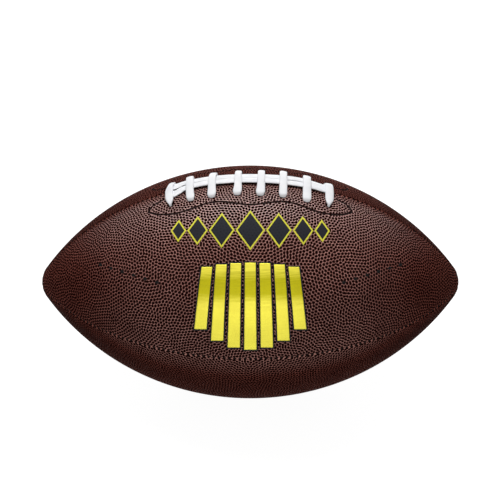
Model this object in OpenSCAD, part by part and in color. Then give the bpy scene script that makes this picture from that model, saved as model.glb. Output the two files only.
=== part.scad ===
// American football: four sewn cover panels over a lining and an air bladder,
// closed by one lace, with an inflation valve in the upper rear panel.
// X runs from tip to tip, +Z is up through the lacing, -Y is the front.
// The origin is the centre of the ball.

/* [Ball] */
// Length from tip to tip
ball_len = 290; // [280:1:300]
// Largest diameter, half way along
ball_d = 161.5; // [155:0.5:170]
// Radius of the rounded tips
nose_r = 18.2; // [16:0.2:22]

/* [Cover and lining] */
// Thickness of the cover panels
cover_t = 2; // [1.6:0.1:2.4]
// Thickness of the fabric lining behind each panel
lining_t = 0.8; // [0.5:0.1:1.2]
// Thickness of the glue between one layer and the next
glue_t = 0.05; // [0.02:0.01:0.1]
// Width of the groove along each seam
seam_w = 0.9; // [0.6:0.1:1.4]
// Depth of the groove along each seam
seam_depth = 0.7; // [0.4:0.1:1]

/* [Bladder] */
// Thickness of the bladder wall
bladder_t = 1; // [0.7:0.1:1.4]
// Room between the lining and the bladder
bladder_gap = 0.5; // [0.4:0.1:0.8]

/* [Lacing] */
// Distance between the middles of the first and last cross lace
lacing_len = 102; // [90:1:108]
// Distance from the seam to each row of lace holes
hole_offset = 13; // [11.4:0.2:13.4]
// Length of a cross lace over its two round ends
cross_len = 30; // [28:0.5:32]
// Width of the lace where it crosses the seam
lace_w = 6; // [5:0.2:7]
// Thickness of the lace
lace_t = 1.8; // [1.4:0.1:2]
// Width of each of the two long runs
run_w = 5.3; // [4.5:0.1:5.6]
// Thickness of each of the two long runs
run_t = 1.3; // [1:0.1:1.5]
// Space between the two long runs
run_gap = 0.4; // [0.2:0.1:0.8]
// Distance that the pair of long runs lies behind the seam
run_shift = 0.6; // [0:0.1:1]
// Clearance round the lace in its holes
hole_clear = 0.3; // [0.2:0.05:0.5]
// Thickness of the tongue under the lace
tongue_t = 1.1; // [0.8:0.1:1.4]

/* [Facings] */
// Half length of the facings' stitched outline
facing_len = 65; // [60:0.5:70]
// Distance from the seam to the widest part of the stitched outline
facing_w = 23; // [21:0.5:25]
// Thickness of a facing
facing_t = 1; // [0.7:0.1:1.2]
// Width of the facing outside its stitches
facing_margin = 2; // [1:0.25:2.5]
// Distance from those stitches to the edge of the opening in the lining
zone_margin = 5; // [4:0.5:8]

/* [Stitches] */
// Distance from one seam stitch to the next
seam_pitch = 3.3; // [2.5:0.1:4.5]
// Length of one seam stitch
seam_stitch_len = 2.2; // [1.4:0.1:2.4]
// Distance from one facing stitch to the next
facing_pitch = 2.9; // [2.4:0.1:3.5]
// Length of one facing stitch
facing_stitch_len = 2.1; // [1.5:0.1:2.3]
// Diameter of the thread
thread_d = 0.7; // [0.5:0.05:0.8]

/* [Valve] */
// Angle of the valve from the lacing, towards the rear
valve_angle = 45; // [35:1:55]
// Outer diameter of the valve's stem
stem_d = 8; // [7:0.2:9]
// Depth of the valve's stem below the outer surface of the cover
stem_depth = 17; // [14:0.5:20]
// Depth of the top of the stem below the outer surface of the cover
stem_recess = 0.5; // [0.3:0.1:0.8]
// Diameter of the flange that holds the stem in the bladder
flange_d = 24; // [20:0.5:28]
// Thickness of that flange
flange_t = 1.2; // [0.8:0.1:1.6]
// Diameter of the plug inside the stem
plug_d = 4.6; // [4.2:0.1:5]
// Diameter of the plug's head
plug_head_d = 6.2; // [5.8:0.1:6.4]
// Thickness of the plug's head
plug_head_t = 1.2; // [0.9:0.1:1.6]
// Diameter of the needle hole through the plug
needle_d = 2.1; // [1.8:0.1:2.4]
// Clearance between the valve's pieces, and round the stem
valve_clear = 0.1; // [0.05:0.05:0.2]
// Diameter of the patch round the valve hole
patch_d = 30; // [26:0.5:36]
// Thickness of that patch
patch_t = 0.4; // [0.3:0.05:0.5]

/* [Prints] */
// Thickness of the ink and the foil
print_t = 0.25; // [0.15:0.05:0.3]
// Distance from the facing's stitches to the top of the prints
print_top_gap = 5; // [4:0.5:8]
// Distance from the foot of the prints to the front seam
print_foot_gap = 7.5; // [6:0.5:12]
// Length of the band of dark diamonds
band_len = 100; // [80:1:106]
// Width of the bright edge round each diamond
band_edge = 1; // [0.6:0.1:1.4]
// Space left in the band between one diamond and the next
diamond_gap = 1; // [0.6:0.1:1.4]
// Width of the fan of foil bars across its foot
fan_w = 72; // [60:1:80]
// Width of the dark edge round each bar
fan_edge = 0.8; // [0.5:0.1:1]
// Length of each row of small marks
pip_row_len = 48; // [36:1:54]
// Distance from the middle of the ball to the middle of each of those rows
pip_x = 77; // [70:1:84]
// Size of one small mark
pip_size = 3.2; // [2.4:0.1:4]

/* [Hidden] */
$fn = 96;

// Colours as seen on the ball.
leather_colour = [0.30, 0.16, 0.14];
lining_colour = [0.72, 0.68, 0.60];
bladder_colour = [0.16, 0.16, 0.17];
lace_colour = [0.95, 0.96, 0.98];
thread_colour = [0.05, 0.04, 0.04];
foil_colour = [0.88, 0.80, 0.22];
edge_colour = [0.90, 0.86, 0.20];

// The outline is one long arc on each side that meets a round nose at each tip.
half_len = ball_len / 2;
ball_r = ball_d / 2;
nose_x = half_len - nose_r;
arc_r = (ball_r ^ 2 - nose_r ^ 2 + nose_x ^ 2) / (2 * (ball_r - nose_r));
axis_gap = arc_r - ball_r;
join_angle = asin(nose_x / (arc_r - nose_r));
join_run = arc_r * join_angle * PI / 180;
nose_run = nose_r * (90 - join_angle) * PI / 180;
overrun = ball_r / 8;
arc_fn = 180;
thread_fn = 16;

// Angle round the ball that one panel takes.
quarter = 90;

// Angles of the four seams, measured from the lacing towards the front.
top_seam = 0;
front_seam = 90;
bottom_seam = 180;
rear_seam = 270;

// Depths of the layers below the outer surface, as negative lifts.
lining_out = -cover_t - glue_t;
lining_in = lining_out - lining_t;
patch_out = lining_in - glue_t;
patch_in = patch_out - patch_t;
bladder_out = lining_in - bladder_gap;
bladder_in = bladder_out - bladder_t;
flange_out = bladder_in - glue_t;
facing_out = -cover_t - glue_t;
facing_in = facing_out - facing_t;
layer_gap = hole_clear / 2;
inner_run_out = facing_in - layer_gap;
inner_run_in = inner_run_out - lace_t;
leg_depth = (inner_run_out + inner_run_in) / 2;
tongue_out = inner_run_in - layer_gap;
tongue_in = tongue_out - tongue_t;
recess_out = tongue_in - layer_gap;

// The zone under the lacing where the lining is open and the bladder dips.
zone_x = facing_len + zone_margin;
zone_y = facing_w + zone_margin;
// Angle from the seam's plane past which nothing is under the lacing, and where the dip starts.
lacing_span = 45;
dip_from = 20;

// Places of the cross laces along the lacing, set by hand in the lacing itself.
cross_shares = [-0.5, -0.376, -0.237, -0.076, 0.069, 0.208, 0.358, 0.5];
cross_x = [for (share = cross_shares) share * lacing_len];
last_cross = len(cross_x) - 1;
leg_share = 0.7;
leg_w = lace_w * leg_share;
leg_t = lace_t;
run_leg_share = 0.8;
run_leg_w = run_w * run_leg_share;
run_end = lacing_len / 2 + lace_w / 2 - leg_t;
slit_half = lacing_len / 2 + lace_w;

// The seam stitches stop at this share of the way round each nose.
seam_end_share = 0.8;
seam_end = join_run + nose_run * seam_end_share;

// A cross lace arches over the long runs and thins out towards its round ends.
end_y = cross_len / 2;
end_drop = end_y ^ 2 / ball_d;
end_t = lace_t / 3;
under_top = run_t + layer_gap;
under_rise = under_top + end_drop - layer_gap;
under_r = (end_y ^ 2 + under_rise ^ 2) / (2 * under_rise);
arch_top = under_top + lace_t;
arch_rise = arch_top + end_drop - end_t;
arch_r = (end_y ^ 2 + arch_rise ^ 2) / (2 * arch_rise);
// The arch is drawn longer than the lace by this share, and its plan cuts it to length.
arch_over_share = 1.5;
arch_angle = 2 * arch_over_share * asin(end_y / arch_r);

// Share of a facing's half length that its waved edge takes, and its wave.
wave_share = 0.8;
wave_mid_share = 0.913;
wave_swing_share = 0.087;
wave_cycles = 1.15;
wave_steps = 12;
// Corners of a facing's end, as shares of its half length and its width.
facing_end_shares = [[0.9, 0.86], [1, 0.61], [0.96, 0.42], [0.86, 0.3]];

// The prints fill the field between the facing's stitches and the front seam.
field_top_angle = around(0, facing_w + print_top_gap);
field_foot_angle = front_seam - around(0, print_foot_gap);
print_angle = (field_top_angle + field_foot_angle) / 2;
field_half_h = ball_r * sin((field_foot_angle - field_top_angle) / 2);
print_from = 5;

// Heights in the field, as shares of half its height.
band_h_share = 0.58;
fan_top_share = 0.24;
pip_y_share = 0.1;
band_h = band_h_share * field_half_h;
band_y = field_half_h - band_h / 2;
fan_top = fan_top_share * field_half_h;
pip_y = pip_y_share * field_half_h;

band_shares = [0.56, 0.72, 0.88, 1, 0.88, 0.72, 0.56];
bar_count = 7;
bar_share = 0.74;
bar_taper_share = 0.86;
fan_curve_share = 0.24;
pip_count = 6;
pip_tilt = 17;
pip_aspect_share = 0.75;

// Radius of the outer surface at a distance x from the middle.
function surface_r(x) = sqrt(arc_r ^ 2 - x ^ 2) - axis_gap;

// Angle round the ball of a point that lies s from the lacing seam.
function around(x, s) = s / surface_r(x) * 180 / PI;

// Half of the lengthwise section, with its outline moved outwards by lift.
module half_section(lift) {
    join_y = (arc_r + lift) * sin(join_angle);
    intersection() {
        translate([0, -ball_len]) square([ball_d, 2 * ball_len]);
        union() {
            intersection() {
                translate([-axis_gap, 0]) circle(arc_r + lift, $fn = arc_fn);
                translate([0, -join_y]) square([ball_d, 2 * join_y]);
            }
            for (end = [-1, 1]) {
                translate([0, end * nose_x]) circle(nose_r + lift);
            }
        }
    }
}

// Section of a layer between two lifts, kept between two places along X.
module layer_section(low, high, x0 = -ball_len, x1 = ball_len) {
    intersection() {
        difference() {
            half_section(high);
            half_section(low);
        }
        translate([0, x0]) square([ball_d, x1 - x0]);
    }
}

// A layer of the ball from angle a0 to angle a1 round it.
module layer(low, high, a0, a1, x0 = -ball_len, x1 = ball_len) {
    rotate([a0, 0, 0]) rotate([90, 0, 90]) rotate([0, 0, 90]) {
        rotate_extrude(angle = a1 - a0, $fn = arc_fn) layer_section(low, high, x0, x1);
    }
}

// Stands children on the outline at a run along it from the middle.
module on_seam(run, angle, lift = 0) {
    side = sign(run);
    if (abs(run) < join_run) {
        turn = run / arc_r * 180 / PI;
        rotate([angle, 0, 0]) translate([0, 0, -axis_gap]) rotate([0, turn, 0]) {
            translate([0, 0, arc_r + lift]) children();
        }
    } else {
        turn = side * (join_angle + (abs(run) - join_run) / nose_r * 180 / PI);
        rotate([angle, 0, 0]) translate([side * nose_x, 0, 0]) rotate([0, turn, 0]) {
            translate([0, 0, nose_r + lift]) children();
        }
    }
}

// Stands children on the surface at x and at a distance s from the lacing seam.
module on_ball(x, s, lift = 0) {
    on_seam(arc_r * asin(x / arc_r) * PI / 180, around(x, s), lift) children();
}

// Puts children's Z axis along the valve's axis, with zero at the outer surface.
module at_valve() {
    rotate([-valve_angle, 0, 0]) translate([0, 0, ball_r]) children();
}

// Groove along a seam.
module seam_groove(angle) {
    rotate([angle, 0, 0]) rotate([-90, -90, 0]) {
        linear_extrude(height = seam_w, center = true) layer_section(-seam_depth, seam_depth);
    }
}

// Slots for the lace through the cover and the facings.
module lace_slots() {
    slot_x = leg_w + 2 * hole_clear;
    slot_y = leg_t + 2 * hole_clear;
    end_slot_x = leg_t + 2 * hole_clear;
    end_slot_y = 2 * run_w + run_gap + 2 * hole_clear;
    for (x = cross_x, side = [-1, 1]) {
        on_ball(x, side * hole_offset) cube([slot_x, slot_y, 2 * overrun], center = true);
    }
    for (end = [-1, 1]) {
        on_ball(end * run_end, -run_shift) {
            cube([end_slot_x, end_slot_y, 2 * overrun], center = true);
        }
    }
}

// One quarter of the cover, with the seams' edges grooved.
module cover_quarter(a0) {
    color(leather_colour) difference() {
        layer(-cover_t, 0, a0, a0 + quarter);
        seam_groove(a0);
        seam_groove(a0 + quarter);
        if (a0 == top_seam || a0 == rear_seam) {
            lace_slots();
        }
        if (a0 == rear_seam) {
            at_valve() cylinder(h = 2 * overrun, d = stem_d + 2 * hole_clear, center = true);
        }
    }
}

module panel_upper_front() {
    cover_quarter(top_seam);
}

module panel_upper_rear() {
    cover_quarter(rear_seam);
}

module panel_lower_front() {
    cover_quarter(front_seam);
}

module panel_lower_rear() {
    cover_quarter(bottom_seam);
}

// The box over the lacing that the lining leaves open.
module lacing_zone(grow) {
    translate([-zone_x - grow, -zone_y - grow, ball_r / 2]) {
        cube([2 * (zone_x + grow), 2 * (zone_y + grow), ball_r]);
    }
}

// One quarter of the lining, bonded to the back of its cover panel.
module lining_quarter(a0) {
    color(lining_colour) difference() {
        layer(lining_in, lining_out, a0, a0 + quarter);
        if (a0 == top_seam || a0 == rear_seam) {
            lacing_zone(0);
        }
        if (a0 == rear_seam) {
            at_valve() cylinder(h = 2 * overrun, d = stem_d + 2 * hole_clear, center = true);
        }
    }
}

module lining_upper_front() {
    lining_quarter(top_seam);
}

module lining_upper_rear() {
    lining_quarter(rear_seam);
}

module lining_lower_front() {
    lining_quarter(front_seam);
}

module lining_lower_rear() {
    lining_quarter(bottom_seam);
}

// Part of a solid of revolution round X, from one angle to another, with 90 at the top.
module sector(from, to) {
    rotate([90, 0, 90]) rotate_extrude(angle = to - from, start = from, $fn = arc_fn) children();
}

// The block of space over the lacing that one skin of the bladder stays out of.
module lacing_dip(lift, grow) {
    difference() {
        lacing_zone(grow);
        sector(dip_from, 180 - dip_from) half_section(lift);
    }
}

// The bladder is moulded in two halves, and the upper one dips under the lacing.
module bladder() {
    color(bladder_colour) difference() {
        union() {
            difference() {
                sector(0, 180) half_section(bladder_out);
                lacing_dip(recess_out, 0);
                difference() {
                    sector(0, 180) half_section(bladder_in);
                    lacing_dip(recess_out - bladder_t, bladder_t);
                }
            }
            sector(180, 360) layer_section(bladder_in, bladder_out);
        }
        at_valve() cylinder(h = 2 * overrun, d = stem_d + 2 * valve_clear, center = true);
    }
}

// Rubber stem with a flange bonded to the inside of the bladder.
module valve_body() {
    color(bladder_colour) difference() {
        union() {
            intersection() {
                layer(flange_out - flange_t, flange_out, rear_seam, rear_seam + quarter);
                at_valve() cylinder(h = 4 * overrun, d = flange_d, center = true);
            }
            at_valve() translate([0, 0, -stem_depth]) {
                cylinder(h = stem_depth - stem_recess, d = stem_d);
            }
        }
        at_valve() {
            cylinder(h = 8 * overrun, d = plug_d + 2 * valve_clear, center = true);
            translate([0, 0, -stem_recess - plug_head_t - valve_clear]) {
                cylinder(h = overrun, d = plug_head_d + 2 * valve_clear);
            }
        }
    }
}

// Self-sealing plug with the hole that guides the inflation needle.
module valve_plug() {
    color(thread_colour) at_valve() difference() {
        union() {
            translate([0, 0, -stem_depth]) cylinder(h = stem_depth - stem_recess, d = plug_d);
            translate([0, 0, -stem_recess - plug_head_t]) cylinder(h = plug_head_t, d = plug_head_d);
        }
        cylinder(h = 8 * overrun, d = needle_d, center = true);
    }
}

// Fabric patch bonded to the lining round the valve hole.
module valve_patch() {
    color(lining_colour) difference() {
        intersection() {
            layer(patch_in, patch_out, rear_seam, rear_seam + quarter);
            at_valve() cylinder(h = 4 * overrun, d = patch_d, center = true);
        }
        at_valve() cylinder(h = 8 * overrun, d = stem_d + 2 * hole_clear, center = true);
    }
}

// Waved outline of a facing in the +X, +Y quarter, from the middle to its end.
function facing_points(half_l, width) = concat(
    [for (i = [0:wave_steps]) let (share = i / wave_steps) [
        half_l * wave_share * share,
        width * (wave_mid_share + wave_swing_share * cos(360 * wave_cycles * share))
    ]],
    [for (share = facing_end_shares) [half_l * share[0], width * share[1]]]
);

function mirrored(points) = [for (i = [len(points) - 1:-1:1]) [-points[i][0], points[i][1]]];

// One facing, bonded under the cover beside the seam. Side is -1 in front and 1 behind.
module facing(side) {
    edge = facing_points(facing_len + facing_margin, facing_w + facing_margin);
    end_x = edge[len(edge) - 1][0];
    outline = concat([[-end_x, 0]], mirrored(edge), edge, [[end_x, 0]]);
    color(leather_colour) difference() {
        intersection() {
            layer(facing_in, facing_out, -lacing_span, lacing_span);
            linear_extrude(height = ball_d) scale([1, side]) polygon(outline);
        }
        lace_slots();
    }
}

module facing_front() {
    facing(-1);
}

module facing_rear() {
    facing(1);
}

// Soft strip between the lace's inner runs and the bladder.
module lace_tongue() {
    color(leather_colour) intersection() {
        layer(tongue_in, tongue_out, -lacing_span, lacing_span);
        translate([-facing_len, -hole_offset - lace_w, 0]) {
            cube([2 * facing_len, 2 * (hole_offset + lace_w), ball_d]);
        }
    }
}

// Crowned section through the top of a cross lace.
module crown_section() {
    intersection() {
        translate([-2 * lace_w, -lace_w]) square([2 * lace_w, 2 * lace_w]);
        translate([-lace_w, 0]) circle(lace_w);
    }
}

// Plan of a cross lace: a strip with round ends.
module lace_plan() {
    straight = cross_len - lace_w;
    square([lace_w, straight], center = true);
    for (end = [-1, 1]) {
        translate([0, end * straight / 2]) circle(d = lace_w);
    }
}

// One crossing of the lace, with its legs down through the two holes.
module cross_lace(x) {
    on_ball(x, 0) difference() {
        intersection() {
            translate([0, 0, arch_top - arch_r]) rotate([0, -90, 0]) rotate([0, 0, -arch_angle / 2]) {
                rotate_extrude(angle = arch_angle, $fn = arc_fn) translate([arch_r, 0]) crown_section();
            }
            translate([0, 0, -overrun]) linear_extrude(height = 2 * overrun) lace_plan();
        }
        translate([0, 0, under_top - under_r]) rotate([0, 90, 0]) {
            cylinder(h = 2 * lace_w, r = under_r, center = true, $fn = arc_fn);
        }
    }
    for (side = [-1, 1]) {
        lace_leg(x, side * hole_offset, leg_w, leg_t, end_t);
    }
}

// A leg of the lace, from a height above the surface down to the runs under the cover.
module lace_leg(x, s, w, t, top) {
    on_ball(x, s, leg_depth) translate([-w / 2, -t / 2, 0]) cube([w, t, top - leg_depth]);
}

// A run of the lace along X, between two distances from the seam.
module long_run(low, high, x0, x1, s0, s1) {
    layer(low, high, around(0, s0), around(0, s1), x0, x1);
}

// A run of the lace under the cover.
module inner_run(x0, x1, s0, s1) {
    long_run(inner_run_in, inner_run_out, x0, x1, s0, s1);
}

// The whole lace: crossings joined in turn under the cover, then two long runs on top.
module lace() {
    half_leg = leg_w / 2;
    half_run = run_leg_w / 2;
    top_x = run_end + leg_t / 2;
    run_s = [for (side = [-1, 1]) side * (run_gap + run_w) / 2 - run_shift];
    color(lace_colour) union() {
        for (x = cross_x) {
            cross_lace(x);
        }
        for (i = [0:last_cross - 1]) {
            s = (i % 2 == 0 ? -1 : 1) * hole_offset;
            inner_run(cross_x[i] - half_leg, cross_x[i + 1] + half_leg, s - half_run, s + half_run);
        }
        for (x = [cross_x[0], cross_x[last_cross]]) {
            inner_run(x - half_leg, x + half_leg, run_s[0] - half_run, hole_offset + half_run);
        }
        for (s = run_s) {
            long_run(0, run_t, -top_x, top_x, s - run_w / 2, s + run_w / 2);
            for (end = [-1, 1]) {
                lace_leg(end * run_end, s, leg_t, run_leg_w, run_t / 2);
            }
        }
    }
}

// A row of stitches along a straight piece of outline, from p to q on the surface.
module stitch_row(p, q) {
    length = norm(q - p);
    count = max(1, round(length / facing_pitch));
    heading = atan2(q[1] - p[1], q[0] - p[0]);
    for (i = [0:count - 1]) {
        spot = p + (q - p) * (i + 0.5) / count;
        on_ball(spot[0], spot[1], thread_d / 2) rotate([0, 0, heading]) rotate([0, 90, 0]) {
            cylinder(h = facing_stitch_len, d = thread_d, center = true, $fn = thread_fn);
        }
    }
}

// Stitches along the whole outline of one facing.
module facing_stitches(side) {
    edge = [for (p = facing_points(facing_len, facing_w)) [p[0], side * p[1]]];
    color(thread_colour) for (end = [-1, 1], i = [0:len(edge) - 2]) {
        p = edge[i];
        q = edge[i + 1];
        stitch_row([end * p[0], p[1]], [end * q[0], q[1]]);
    }
}

module facing_stitches_front() {
    facing_stitches(1);
}

module facing_stitches_rear() {
    facing_stitches(-1);
}

// Stitches in a seam's groove, between two runs along the outline.
module seam_stitches(angle, run0, run1) {
    count = floor((run1 - run0) / seam_pitch);
    color(thread_colour) for (i = [0:count - 1]) {
        run = run0 + (run1 - run0) * (i + 0.5) / count;
        on_seam(run, angle, -thread_d / 2) rotate([0, 90, 0]) {
            cylinder(h = seam_stitch_len, d = thread_d, center = true, $fn = thread_fn);
        }
    }
}

module seam_stitches_front() {
    seam_stitches(front_seam, -seam_end, seam_end);
}

module seam_stitches_rear() {
    seam_stitches(rear_seam, -seam_end, seam_end);
}

module seam_stitches_bottom() {
    seam_stitches(bottom_seam, -seam_end, seam_end);
}

module seam_stitches_top_left() {
    seam_stitches(top_seam, -seam_end, -slit_half);
}

module seam_stitches_top_right() {
    seam_stitches(top_seam, slit_half, seam_end);
}

// A skin of ink or foil on the upper front panel, in the shape of its children.
module print_skin() {
    intersection() {
        layer(0, print_t, print_from, front_seam);
        rotate([print_angle, 0, 0]) linear_extrude(height = ball_d) children();
    }
}

// One diamond, made larger all round by grow.
module diamond(w, h, grow = 0) {
    slope = sqrt(w ^ 2 + h ^ 2);
    half_w = w / 2 + grow * slope / h;
    half_h = h / 2 + grow * slope / w;
    polygon([[-half_w, 0], [0, -half_h], [half_w, 0], [0, half_h]]);
}

function share_sum(shares, n) = n == 0 ? 0 : shares[n - 1] + share_sum(shares, n - 1);

// The band: diamonds side by side, the tallest in the middle.
module diamond_band(grow) {
    unit = band_len / share_sum(band_shares, len(band_shares));
    for (i = [0:len(band_shares) - 1]) {
        middle = share_sum(band_shares, i) + band_shares[i] / 2;
        space = 2 * band_edge + diamond_gap;
        translate([middle * unit - band_len / 2, band_y]) {
            diamond(band_shares[i] * unit - space, band_shares[i] * band_h - space, grow);
        }
    }
}

module print_band() {
    color(thread_colour) print_skin() diamond_band(0);
}

module print_band_edge() {
    color(edge_colour) print_skin() difference() {
        diamond_band(band_edge);
        diamond_band(0);
    }
}

// The fan: tapered bars side by side, the middle one the longest.
module fan_bars(grow) {
    step = fan_w / bar_count;
    half_count = (bar_count - 1) / 2;
    for (i = [-half_count:half_count]) {
        share = (i / half_count) ^ 2;
        top = fan_top - share * fan_curve_share * fan_top + grow;
        foot = -field_half_h + share * fan_curve_share * (field_half_h + fan_top) - grow;
        half_foot = step * bar_share / 2 + grow;
        half_top = step * bar_share * bar_taper_share / 2 + grow;
        foot_x = i * step;
        top_x = foot_x * bar_taper_share;
        polygon([
            [foot_x - half_foot, foot], [foot_x + half_foot, foot],
            [top_x + half_top, top], [top_x - half_top, top]
        ]);
    }
}

module print_fan() {
    color(foil_colour) print_skin() fan_bars(0);
}

module print_fan_edge() {
    color(thread_colour) print_skin() difference() {
        fan_bars(fan_edge);
        fan_bars(0);
    }
}

// Two rows of small dark marks, one on each side of the fan.
module print_pips() {
    step = pip_row_len / pip_count;
    color(thread_colour) print_skin() for (end = [-1, 1]) {
        translate([end * pip_x, pip_y]) rotate(end * pip_tilt) {
            for (i = [0:pip_count - 1]) {
                translate([(i + 0.5) * step - pip_row_len / 2, 0]) {
                    diamond(pip_size, pip_size * pip_aspect_share);
                }
            }
        }
    }
}

panel_upper_front();
panel_upper_rear();
panel_lower_front();
panel_lower_rear();
lining_upper_front();
lining_upper_rear();
lining_lower_front();
lining_lower_rear();
bladder();
valve_body();
valve_plug();
valve_patch();
facing_front();
facing_rear();
lace_tongue();
lace();
facing_stitches_front();
facing_stitches_rear();
seam_stitches_front();
seam_stitches_rear();
seam_stitches_bottom();
seam_stitches_top_left();
seam_stitches_top_right();
print_band();
print_band_edge();
print_fan();
print_fan_edge();
print_pips();
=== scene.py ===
"""Looks of the American football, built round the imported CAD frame.

Lengths are in millimetres up to the moment a mesh is made. The lights and the floor are in metres.
X runs from tip to tip, +Z is up through the lacing and -Y is the front. A place on the ball is
given by x, or by run, the distance from the middle along the outline, and by the angle alpha
from the lacing towards the front, or by s, the distance from the lacing seam.
"""

import math
from collections import namedtuple

import bpy
import numpy as np
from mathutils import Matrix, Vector


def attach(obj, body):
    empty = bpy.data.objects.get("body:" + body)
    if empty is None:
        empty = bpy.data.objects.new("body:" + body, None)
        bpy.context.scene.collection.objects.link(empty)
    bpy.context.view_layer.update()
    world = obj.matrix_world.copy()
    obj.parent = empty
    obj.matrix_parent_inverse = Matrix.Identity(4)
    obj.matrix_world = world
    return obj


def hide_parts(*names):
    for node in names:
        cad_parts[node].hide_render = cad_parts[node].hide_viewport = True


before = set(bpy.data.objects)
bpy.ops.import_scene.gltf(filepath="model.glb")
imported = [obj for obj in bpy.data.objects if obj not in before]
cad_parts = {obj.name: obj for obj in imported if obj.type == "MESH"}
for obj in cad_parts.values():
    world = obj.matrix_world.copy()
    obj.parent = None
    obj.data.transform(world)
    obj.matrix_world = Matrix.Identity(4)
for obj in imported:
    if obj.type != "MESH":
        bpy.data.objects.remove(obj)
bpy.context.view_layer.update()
MM = 0.001
PI = math.pi
QUARTER = PI / 2
FULL_TURN = 4 * QUARTER

# Ball
BALL_LEN = 290.0
BALL_D = 161.5
NOSE_R = 18.2
COVER_T = 2.0
HALF_LEN = BALL_LEN / 2
BALL_R = BALL_D / 2
NOSE_X = HALF_LEN - NOSE_R
ARC_R = (BALL_R ** 2 - NOSE_R ** 2 + NOSE_X ** 2) / (2 * (BALL_R - NOSE_R))
AXIS_GAP = ARC_R - BALL_R
JOIN_ANGLE = math.asin(NOSE_X / (ARC_R - NOSE_R))
JOIN_RUN = ARC_R * JOIN_ANGLE
END_RUN = JOIN_RUN + NOSE_R * (QUARTER - JOIN_ANGLE)

# Cover panels, in the order of their angles from the lacing
PANEL_NAMES = ("panel_upper_front", "panel_lower_front", "panel_lower_rear", "panel_upper_rear")
UPPER_FRONT = 0
UPPER_REAR = 3

# Mesh of the panels: the outer skin's step, its finer places beside the seams, and the inner skin
SKIN_STEP = 0.575
EDGE_PLACES = (0.0, 0.28, 0.56, 0.86, 1.2)
NARROW_W = 5 * EDGE_PLACES[-1]
INNER_COLS = 10

# Pebbles of the leather, which grow on a coarse grid and are read from one twice as fine
PEBBLE_SEED = 11
PEBBLE_PITCH = 2.25
PEBBLE_STEP = 0.47
FINE_STEP = PEBBLE_STEP / 2
PEBBLE_CELLS = (768, 288)
PEBBLE_ROUNDS = 120
PEBBLE_NOISE = 0.1
PEBBLE_GROWTH = 0.1
PEBBLE_CLIP = (4, 96)
PEBBLE_SHIFT = (431, 167)
HONEYCOMB_ROW = math.sqrt(0.75)
NEARLY_STRAIGHT = 1e-4
PEBBLE_DEPTH = 0.2
PEBBLE_SINK = (0.15, 0.8)
PEBBLE_SEAM_FADE = (0.1, 0.7)
PIT_FROM = 0.1
PIT_TO = 0.25

# Brightness of the leather, painted light and shade: of each panel (the lower front's low one is
# painted shade), and where it changes with the angle or along X: lighter near the lacing and by
# the front seam, darker behind the lacing and towards the tips
PANEL_TONES_AND_SHADES = (0.83, 0.36, 0.7, 0.72)
TOP_PAINTED_LIGHT = 0.95
TOP_PAINTED_LIGHT_FADE = (math.radians(35), math.radians(70))
REAR_TOP_PAINTED_SHADE = 0.44
REAR_TOP_PAINTED_SHADE_FADE = (math.radians(295), math.radians(325))
SEAM_PAINTED_LIGHT = 0.98
SEAM_PAINTED_LIGHT_RISE = (math.radians(52), math.radians(80))
SEAM_PAINTED_LIGHT_FALL = (math.radians(88), math.radians(108))
TIP_PAINTED_SHADE = 0.51
TIP_PAINTED_SHADE_FADE = (52.0, 122.0)
# The sheen on the upper front panel, beside the lacing
GLOSS_RISE = (math.radians(1), math.radians(7))
GLOSS_FALL = (math.radians(16), math.radians(44))
GLOSS_ENDS = (75.0, 130.0)

# Seams: the valley with its shoulders, the pull of each stitch, painted shade in the valley and at
# each pull, and paler leather between the pulls
SEAM_PITCH = 3.3
SEAM_HALF_W = 0.7
SEAM_DEPTH = 0.35
SEAM_SHADE_W = 0.3
SEAM_SHADE_LEVEL = 0.12
PULL_DEPTH = 0.4
PULL_W = 2 * SEAM_HALF_W
PULL_SHADE_W = 0.9
PULL_POWER = 3
SEAM_PALE_AT = 0.7
SEAM_PALE_W = 0.7
SEAM_PALE_LEVEL = 0.8
SHOULDER_AT = 1.7
SHOULDER_W = 0.8
SHOULDER_H = 0.14
SEAM_STITCH_LEN = 1.6
SEAM_STITCH_LIFT = 0.15
SEAM_STITCH_SINK = 0.2
SEAM_END_GAP = 4.0
SEAM_STOP = END_RUN - SEAM_END_GAP
SLIT_HALF_LEN = 57.0
# The rows of stitches: angle from the lacing, and runs of the first and last stitch
SEAM_ROWS = (
    ("seam_stitches_front", QUARTER, -SEAM_STOP, SEAM_STOP),
    ("seam_stitches_bottom", 2 * QUARTER, -SEAM_STOP, SEAM_STOP),
    ("seam_stitches_rear", 3 * QUARTER, -SEAM_STOP, SEAM_STOP),
    ("seam_stitches_top_left", 0.0, -SEAM_STOP, -SLIT_HALF_LEN),
    ("seam_stitches_top_right", 0.0, SLIT_HALF_LEN, SEAM_STOP),
)

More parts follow.
